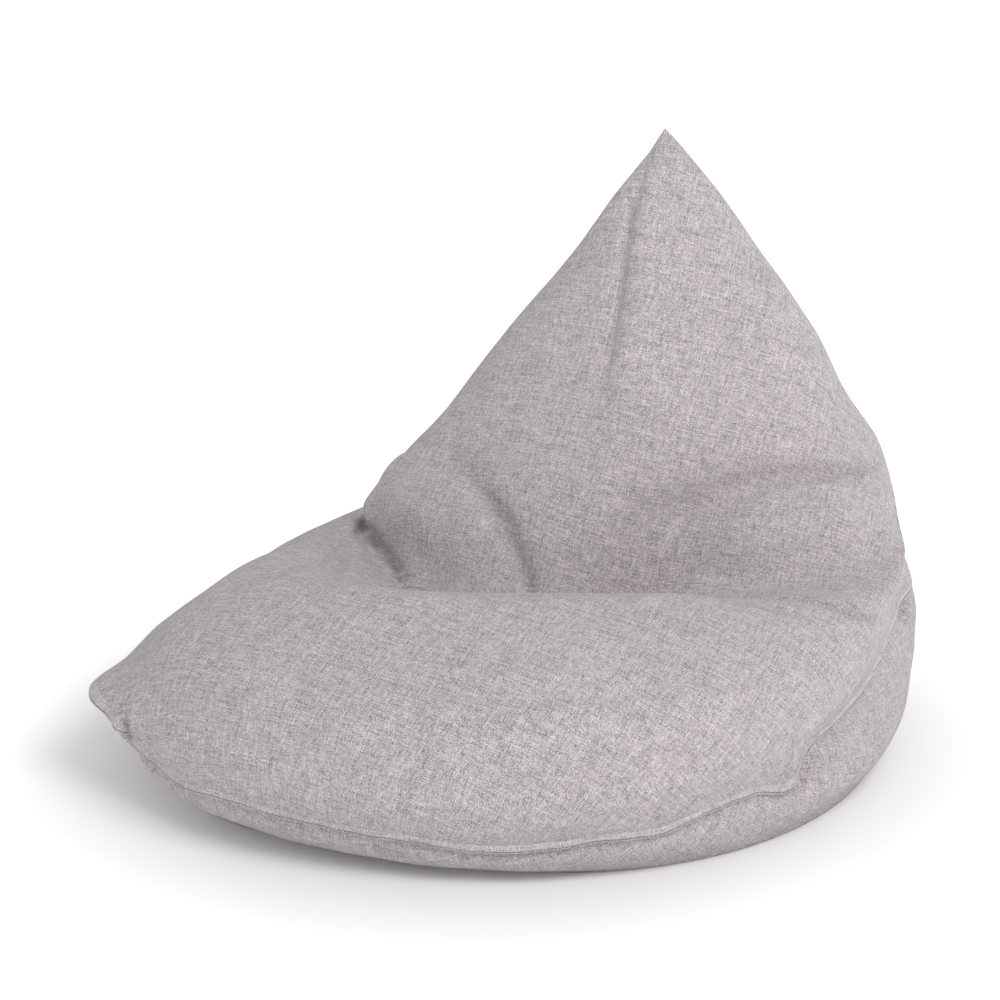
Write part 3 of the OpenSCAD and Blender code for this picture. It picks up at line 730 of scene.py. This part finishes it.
def woven(name, colour, thread, contrast, bump, patch=0.05):
    """Plain weave with uneven threads, its colour darkened between the threads as painted shade. thread
    is the pitch of one thread in metres.
    """
    n = Nodes(name)
    cloth = n.put("ShaderNodeAttribute", attribute_name="cloth").outputs["Vector"]
    parts = apart(n, cloth)
    drift = n.math("MULTIPLY", n.math("SUBTRACT", n.noise(cloth, 28.0, 1.0), 0.5), DRIFT)
    u = n.math("ADD", n.math("DIVIDE", parts[0], thread), drift)
    v = n.math("ADD", n.math("DIVIDE", parts[1], thread), drift)
    iu, iv = n.math("FLOOR", u), n.math("FLOOR", v)
    # 1 where the warp lies over the weft; the large even number keeps the sum positive
    over = n.math("MODULO", n.math("ADD", n.math("ADD", iu, iv), 20000.0), 2.0)
    # every thread has its own shade, which changes slowly along it where the yarn is thicker
    warp_row = n.math("ADD", n.math("MULTIPLY", iu, 3.0), 0.5)
    weft_row = n.math("ADD", n.math("MULTIPLY", iv, 3.0), 0.5)
    warp_slub = n.noise(n.xyz(warp_row, n.math("MULTIPLY", v, SLUB_LENGTH)), 1.0, 1.0)
    weft_slub = n.noise(n.xyz(n.math("MULTIPLY", u, SLUB_LENGTH), weft_row, 9.3), 1.0, 1.0)
    slub = n.mix(over, weft_slub, warp_slub)
    speck = n.white(n.xyz(iu, iv, 3.0))
    broad = n.noise(cloth, 22.0, 3.0)
    # the height of the thread on top, round across it and arched along it
    fu = n.math("SUBTRACT", n.math("FRACT", u), 0.5)
    fv = n.math("SUBTRACT", n.math("FRACT", v), 0.5)
    across, along = n.mix(over, fv, fu), n.mix(over, fu, fv)
    crown = n.math("SUBTRACT", 1.0, n.math("MULTIPLY", n.math("MULTIPLY", across, across), 3.2))
    arch = n.math("SUBTRACT", 1.0, n.math("MULTIPLY", n.math("MULTIPLY", along, along), 2.2))
    height = n.math("MULTIPLY", crown, arch)
    # the colour factor: each thread's own tone, plus painted shade from the height term, darker where a
    # thread dips between its neighbours
    shade = 1.0
    for socket, middle, gain in ((slub, 0.5, 3.4 * contrast), (speck, 0.5, 1.1 * contrast),
                                 (height, 0.62, 1.3 * contrast), (broad, 0.5, 2 * patch)):
        shade = n.line(shade, gain, n.math("SUBTRACT", socket, middle))
    n.look(colour, shade, n.line(0.86, 0.12, speck))
    n.bump(n.math("ADD", height, n.math("MULTIPLY", slub, 0.6)), bump)
    n.set(Specular_IOR_Level=0.25, Sheen_Weight=0.18, Sheen_Roughness=0.45)
    return n.mat


def herringbone(name, colour):
    """Zip tape: a fine diagonal rib that turns back every few millimetres, its colour lighter on the
    rib's crests and darker in its grooves as painted shade.
    """
    n = Nodes(name)
    parts = apart(n, position(n))
    zig = n.math("PINGPONG", n.math("MULTIPLY", parts[0], 1000.0), 1.6)
    slant = n.math("ADD", n.math("MULTIPLY", parts[2], 1000.0), zig)
    rib = n.math("SINE", n.math("MULTIPLY", slant, 7.0))
    fuzz = n.noise(position(n), 900.0)
    # painted shade: the rib term lightens the crests and darkens the grooves; the fuzz is the tape's own
    # uneven tone
    n.look(colour, n.line(0.94, 0.08, n.math("ADD", rib, fuzz)), n.line(0.75, 0.15, fuzz))
    n.bump(rib, 0.00012)
    n.set(Specular_IOR_Level=0.3, Sheen_Weight=0.1)
    return n.mat


def plastic(name, colour):
    """Moulded nylon with a very fine grain."""
    n = Nodes(name)
    grain = n.noise(position(n), 1400.0)
    n.look(colour, n.line(0.93, 0.14, grain), n.line(0.34, 0.16, grain))
    n.bump(grain, 0.00003)
    n.set(IOR=1.53)
    return n.mat


def metal(name, colour):
    """Satin die casting with rubbed, slightly brighter patches."""
    n = Nodes(name)
    cast, rub = n.noise(position(n), 1800.0), n.noise(position(n), 160.0, 3.0)
    n.look(colour, n.line(0.86, 0.3, rub), n.line(0.26, 0.2, rub))
    n.bump(cast, 0.00004)
    n.set(Metallic=1.0)
    return n.mat


def thread_material(name, colour):
    """Sewing thread, its plies shown as a fine unevenness."""
    n = Nodes(name)
    twist = n.noise(position(n), 2600.0, 1.0)
    n.look(colour, n.line(0.8, 0.4, twist), n.line(0.55, 0.2, twist))
    n.bump(twist, 0.00008)
    n.set(Specular_IOR_Level=0.4)
    return n.mat


def beads(name, colour):
    """Loose 4 mm foam beads, seen as a packed surface, darkened between the beads as painted shade."""
    n = Nodes(name)
    cells = n.put("ShaderNodeTexVoronoi", feature="F1", voronoi_dimensions="3D")
    n.join(cells, "Vector", position(n))
    n.join(cells, "Scale", 260.0)
    gap = cells.outputs["Distance"]
    # painted shade: darker towards each cell's edge, where the beads meet
    shade = n.math("SUBTRACT", 1.05, n.math("MULTIPLY", gap, 0.45))
    n.look(colour, shade, n.line(0.45, 0.2, gap))
    n.bump(n.math("SUBTRACT", 1.0, gap), 0.0015)
    n.set(Subsurface_Weight=0.1)
    return n.mat


FABRIC = (0.515, 0.474, 0.472)
SLOTS = {
    "cover_fabric": woven("cover_fabric", FABRIC, 0.0016, 0.44, 0.0006, 0.02),
    # the seam ridge is the cover cloth painted a little lighter, a painted highlight on the raised ridge
    "cover_seam": woven("cover_seam", (0.54, 0.502, 0.498), 0.0016, 0.34, 0.0005),
    # dark thread: partly the thread's own tone, partly painted shade standing in for the shadowed groove
    # along the seam ridge
    "thread": thread_material("thread", (0.2, 0.185, 0.18)),
    "zip_tape": herringbone("zip_tape", (0.36, 0.34, 0.34)),
    "zip_coil": plastic("zip_coil", (0.32, 0.30, 0.30)),
    "zip_metal": metal("zip_metal", (0.55, 0.55, 0.56)),
    "liner_fabric": woven("liner_fabric", (0.8, 0.8, 0.78), 0.0006, 0.08, 0.0001, 0.02),
    "liner_zip": herringbone("liner_zip", (0.78, 0.78, 0.77)),
    "liner_zip_coil": plastic("liner_zip_coil", (0.76, 0.76, 0.75)),
    "eps_beads": beads("eps_beads", (0.9, 0.9, 0.89)),
}


def finish_piece(obj, slot, *nodes):
    """Every piece of the bag rides on the cover, and stands for its CAD nodes."""
    obj.data.materials.clear()
    obj.data.materials.append(SLOTS[slot])
    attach(obj, "root")
    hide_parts(*nodes)


# ------------------------------------------------------------------ covers, seams and stitches
HEM = 1.5  # how far the turned edge lies under the cover


def hemmed(P, cloth):
    """The upper cover with its two edges turned under beside the rear slit."""
    n = normals(P)
    n[[0, -1]] = n[[2, -3]]
    left, far_left = P[:1] - HEM * n[:1], P[3:4] - HEM * n[:1]
    right, far_right = P[-1:] - HEM * n[-1:], P[-4:-3] - HEM * n[-1:]
    grown = np.concatenate([far_left, left, P, right, far_right])
    flat = np.concatenate([2 * cloth[:1] - cloth[3:4], cloth[:1], cloth, cloth[-1:],
                           2 * cloth[-1:] - cloth[-4:-3]])
    return grown, flat


def cover_pieces(P):
    """The cover's two cloths, above and below the perimeter seam."""
    panel, flat = hemmed(P[:, SEAM_ROW:], unwrap(P[:, SEAM_ROW:]))
    upper = grid_object("upper_cover", panel, False, flat)
    finish_piece(upper, "cover_fabric", "upper_panel")
    base = base_object("base_cover", P[:-1, :SEAM_ROW + 1])
    finish_piece(base, "cover_fabric", "base_panel")


def base_object(name, low):
    """The base panel: the sides down to the floor, then flat rings in to the middle."""
    cloth = base_cloth(low)
    middle = low[:, 0].mean(0)
    shares = np.linspace(0, 1, FLOOR_ROWS + 1)[1:-1]
    inner = middle + (low[:, :1] - middle) * shares[None, :, None]
    grid = np.concatenate([inner, low], 1)
    flat = np.concatenate([inner[..., :2], cloth], 1)
    n, m = grid.shape[:2]
    verts = np.concatenate([grid.reshape(-1, 3), middle[None]])
    cloths = np.concatenate([flat.reshape(-1, 2), middle[None, :2]])
    obj = link(faces_mesh(name, verts, grid_faces(n, m, True), cloths))
    add_faces(obj, [[n * m, ((i + 1) % n) * m, i * m] for i in range(n)], True)
    return obj


# (up, out) in mm: the felled ridge, steep at its lower edge, with a groove for the stitches
RIDGE = [(-1.0, -4.0), (-1.9, -1.0), (-2.6, 1.4), (-2.5, 3.4), (-1.5, 4.8), (-0.2, 4.9), (0.5, 4.1),
         (1.3, 4.9), (3.4, 5.3), (6.0, 4.6), (8.6, 2.9), (11.0, 0.9), (13.0, -1.0), (13.0, -4.0)]
STITCH_UP, STITCH_OUT = 0.5, 4.5
SEAM_SPAN = 3  # rows above and below the seam that show which way the cloth runs


def seam_frame(P):
    """The seam's line on the body, with directions up the cloth and out of it."""
    line = P[:-1, SEAM_ROW]
    along = unit(np.roll(line, -1, 0) - np.roll(line, 1, 0))
    above = unit(P[:-1, SEAM_ROW + SEAM_SPAN] - line)
    below = unit(line - P[:-1, SEAM_ROW - SEAM_SPAN])
    up = unit(above + below)
    for _ in range(6):
        up = (up + np.roll(up, 1, 0) + np.roll(up, -1, 0)) / 3
    up = unit(up - (up * along).sum(-1, keepdims=True) * along)
    out = np.cross(up, along)
    facing = np.sign((out * normals(P)[:-1, SEAM_ROW]).sum(-1, keepdims=True))
    return line, up, out * facing


def finer(values):
    """Closed curve with a point added halfway along each step, by the same spline as the body."""
    t = np.array([0.0, 0.5])
    a, b, c, d = (np.roll(values, s, 0)[:, None] for s in (1, 0, -1, -2))
    return spline(a, b, c, d, t[None, :, None]).reshape(-1, values.shape[1])


def seam_pieces(P):
    """The perimeter seam's ridge, a little uneven, and the stitches along it."""
    line, up, out = (finer(part) for part in seam_frame(P))
    up, out = unit(up), unit(out)
    run = run_length(line)
    # the ridge swells in places and between stitches, and sways up and down
    swell = 1 + 0.10 * np.sin(run / 31 + 1.1) * np.sin(run / 12.7)
    swell += 0.05 * np.sin(run * 2 * np.pi / STITCH_PITCH)
    sway = 0.7 * np.sin(run / 47) + 0.5 * np.sin(run / 19 + 2)
    section = np.repeat(np.array(RIDGE)[None], len(line), 0)
    section[..., 0] += sway[:, None]
    section[..., 1] *= np.where(section[..., 1] > 0, swell[:, None], 1)
    ridge = sweep("seam_ridge", line, up, out, section, True)
    finish_piece(ridge, "cover_seam", "perimeter_seam")
    place = line + (STITCH_UP + sway)[:, None] * up + (STITCH_OUT * swell)[:, None] * out
    place, face = np.concatenate([place, place[:1]]), np.concatenate([out, out[:1]])
    stitches = stitch_row("seam_stitches", [(place, face)])
    finish_piece(stitches, "thread", "perimeter_topstitch")


REAR_HALF, REAR_LAP = 10.0, 2.0  # half the rear ridge's width, and its height
REAR_TOP = 722.0  # the ridge ends this high, just under the peak
ZIP_STITCH = 3.6  # from the cover's edge to the stitches beside the zip


def rear_track(P):
    """The line up the back on the cover, from the perimeter seam to the peak."""
    line = (P[0] + P[-1]) / 2
    across = unit(P[-6] - P[5])
    along = unit(np.gradient(line, axis=0))
    out = unit(np.cross(across, along))
    out *= np.sign((out * REAR_OUT).sum(-1, keepdims=True))
    return line, across, out


def rear_section():
    """The rear ridge's section, two rounded laps with a groove between them."""
    side = [(-REAR_HALF, -1.5), (-REAR_HALF, 0.7), (-REAR_HALF + 0.9, REAR_LAP - 0.3),
            (-REAR_HALF + 3, REAR_LAP), (-1.2, REAR_LAP + 0.2)]
    return np.array(side + [(0, REAR_LAP - 0.25)] + [(-x, y) for x, y in side[::-1]])


def rear_pieces(P):
    """The rear seam's ridge below and above the zip, and all the stitches up the back."""
    line, across, out = rear_track(P)
    z = line[:, 2]
    rows = np.arange(len(z))
    parts = {"low": (rows > SEAM_ROW) & (z < ZIP_LOW + 1),
             "high": (z > ZIP_HIGH - 1) & (z < REAR_TOP)}
    stitches = []
    for name, inside in parts.items():
        part = np.nonzero(inside)[0]
        s = np.linspace(part[0], part[-1], 3 * len(part))
        middle, sideways = between(line, rows, s), unit(between(across, rows, s))
        face = unit(between(out, rows, s))
        # the ridge narrows where the cover runs out towards the peak
        narrow = np.clip((PEAK_HEIGHT - 5 - middle[:, 2]) / 60, 0.25, 1)[:, None]
        section = np.repeat(rear_section()[None], len(middle), 0)
        section[..., 0] *= narrow
        ridge = sweep("rear_ridge_" + name, middle, sideways, face, section, False)
        finish_piece(ridge, "cover_seam", "rear_seam")
        for side in (-1, 1):
            place = middle + side * (REAR_HALF - 3.2) * narrow * sideways + (REAR_LAP + 0.1) * face
            stitches.append((place, face))
    inside = np.nonzero((z > ZIP_LOW - 4) & (z < ZIP_HIGH + 4))[0]
    for side, edge in ((-1, 0), (1, -1)):
        band = P[edge, inside] + side * ZIP_STITCH * across[inside] + 0.1 * out[inside]
        stitches.append((band, out[inside]))
    row = stitch_row("rear_stitches", stitches)
    finish_piece(row, "thread", "rear_topstitch")


# ------------------------------------------------------------------ inside the cover
# how far under the cover the liner and the beads lie, and how much more under the rear line
LINER_DEPTH, FILL_DEPTH, REAR_ROOM, FILL_REAR_ROOM = 3.0, 6.8, 6.0, 9.0
HIP_ROOM = 5.0  # and at the right hip
MIDDLE = np.array([0.0, 60.0, 200.0])


def sunk(P, depth, rear_room):
    """The body moved inwards, with extra room for the zips under the rear line."""
    extra = rear_room * smooth((14 - (180 - np.abs(A))) / 8) * (W > SEAM - 0.2)
    # at the right hip the rings nearly cross, so inwards is taken as towards the bag's middle
    hip = np.minimum(1.5 * hip_share(20, 1.2), 1)
    outwards = normals(P, 12) * (1 - hip)[..., None] + unit(P - MIDDLE) * hip[..., None]
    inner = P - (depth + extra + HIP_ROOM * hip)[..., None] * unit(outwards)
    inner[..., 2] = np.maximum(inner[..., 2], depth)
    return inner


def inner_pieces(P):
    """The liner's two cloths and their seam, turned inwards, and the beads as one body."""
    inner = sunk(P, LINER_DEPTH, REAR_ROOM)
    cloth = unwrap(P[:, SEAM_ROW:])
    upper = grid_object("liner_upper_cloth", inner[:, SEAM_ROW:], False, cloth)
    finish_piece(upper, "liner_fabric", "liner_upper")
    base = base_object("liner_base_cloth", inner[:-1, :SEAM_ROW + 1])
    finish_piece(base, "liner_fabric", "liner_base")
    fin = [(-0.8, -0.2), (0.8, -0.2), (0.8, -1.8), (-0.8, -1.8)]
    seam = sweep("liner_seam_fin", *seam_frame(inner), fin, True)
    finish_piece(seam, "liner_fabric", "liner_seam")
    filling = base_object("bead_filling", sunk(P, FILL_DEPTH, FILL_REAR_ROOM)[:-1])
    finish_piece(filling, "eps_beads", "bead_fill")


def cad_looks():
    """The CAD pieces that stay get the material of their slot."""
    for sub in frame["record"]["subparts"]:
        obj = frame["nodes"][sub["node"]]
        obj.data.materials.clear()
        obj.data.materials.append(SLOTS[sub["material_slot"]])


# ------------------------------------------------------------------ camera and light
TARGET = np.array([-0.010, -0.050, 0.330])
CAM_AZ, CAM_EL, CAM_DIST = math.radians(20), math.radians(18), 3.4
SENSOR, LENS = 36, 100.8
FLOOR_SIDE = 60000
# the floor glows as painted light, its emission growing between these radii, so that near the bag it
# stays darker as a painted shadow
GLOW_FROM, GLOW_TO = 0.42, 0.88  # metres from the middle between which the floor's glow grows
GLOW_NEAR, GLOW_FAR = 0.04, 0.58
WORLD_LIGHT, WORLD_SEEN = 0.56, 0.98
WHITE = (1, 1, 1, 1)


def make_camera():
    """The camera looks at the seat from the front right and a little above."""
    data = bpy.data.cameras.new("camera")
    cam = bpy.data.objects.new("camera", data)
    scene.collection.objects.link(cam)
    way = np.array([math.sin(CAM_AZ) * math.cos(CAM_EL), -math.cos(CAM_AZ) * math.cos(CAM_EL),
                    math.sin(CAM_EL)])
    cam.location = TARGET + CAM_DIST * way
    cam.rotation_euler = (math.radians(90) - CAM_EL, 0, CAM_AZ)
    data.sensor_width, data.lens = SENSOR, LENS
    scene.camera = cam


def area_light(name, place, side, power):
    """A square soft box aimed at the middle of the bag."""
    data = bpy.data.lights.new(name, "AREA")
    data.shape, data.size, data.energy = "SQUARE", side, power
    lamp = bpy.data.objects.new(name, data)
    scene.collection.objects.link(lamp)
    lamp.location = place
    aim = Vector((0, 0, 0.3)) - Vector(place)
    lamp.rotation_euler = aim.to_track_quat("-Z", "Y").to_euler()


def painted_glow_floor():
    """A paper sweep with painted light: its emission grows with distance from the bag's middle, so it
    glows white further out and stays darker near the bag as a painted shadow.
    """
    n = Nodes("painted_glow_floor")
    n.set(Base_Color=(0.9, 0.9, 0.9, 1), Roughness=0.95, Specular_IOR_Level=0.0,
          Emission_Color=WHITE)
    reach = n.put("ShaderNodeVectorMath", operation="LENGTH")
    n.join(reach, 0, position(n))
    ramp = n.put("ShaderNodeMapRange", interpolation_type="SMOOTHSTEP")
    for slot, value in (("Value", reach.outputs["Value"]), ("From Min", GLOW_FROM),
                        ("From Max", GLOW_TO), ("To Min", GLOW_NEAR), ("To Max", GLOW_FAR)):
        n.join(ramp, slot, value)
    n.join(n.bsdf, "Emission Strength", ramp.outputs["Result"])
    return n.mat


def make_world():
    """Even white light; what the lens sees past the floor is the white sweep itself."""
    world = bpy.data.worlds.new("studio")
    scene.world = world
    world.use_nodes = True
    tree = world.node_tree
    dim, seen = tree.nodes["Background"], tree.nodes.new("ShaderNodeBackground")
    for node, strength in ((dim, WORLD_LIGHT), (seen, WORLD_SEEN)):
        node.inputs["Color"].default_value = WHITE
        node.inputs["Strength"].default_value = strength
    choose, ray = tree.nodes.new("ShaderNodeMixShader"), tree.nodes.new("ShaderNodeLightPath")
    tree.links.new(ray.outputs["Is Camera Ray"], choose.inputs[0])
    tree.links.new(dim.outputs[0], choose.inputs[1])
    tree.links.new(seen.outputs[0], choose.inputs[2])
    tree.links.new(choose.outputs[0], tree.nodes["World Output"].inputs["Surface"])


def make_studio():
    """Floor, three soft boxes and a white world."""
    corners = [(-1, -1), (1, -1), (1, 1), (-1, 1)]
    floor = link(faces_mesh("floor", [(FLOOR_SIDE * x, FLOOR_SIDE * y, 0) for x, y in corners],
                            [(0, 1, 2, 3)]))
    floor.data.materials.append(painted_glow_floor())
    area_light("key", (2.2, -1.5, 2.8), 1.9, 64)
    area_light("fill", (-2.6, -2.6, 1.8), 2.4, 11)
    area_light("back", (1.2, 2.8, 1.8), 2.0, 16)
    make_world()
    scene.view_settings.view_transform = "Standard"


make_camera()
make_studio()
cad_looks()

body_grid, carved = sculpt()
body_grid = relax(body_grid, carved)

cover_pieces(body_grid)
seam_pieces(body_grid)
rear_pieces(body_grid)
inner_pieces(body_grid)
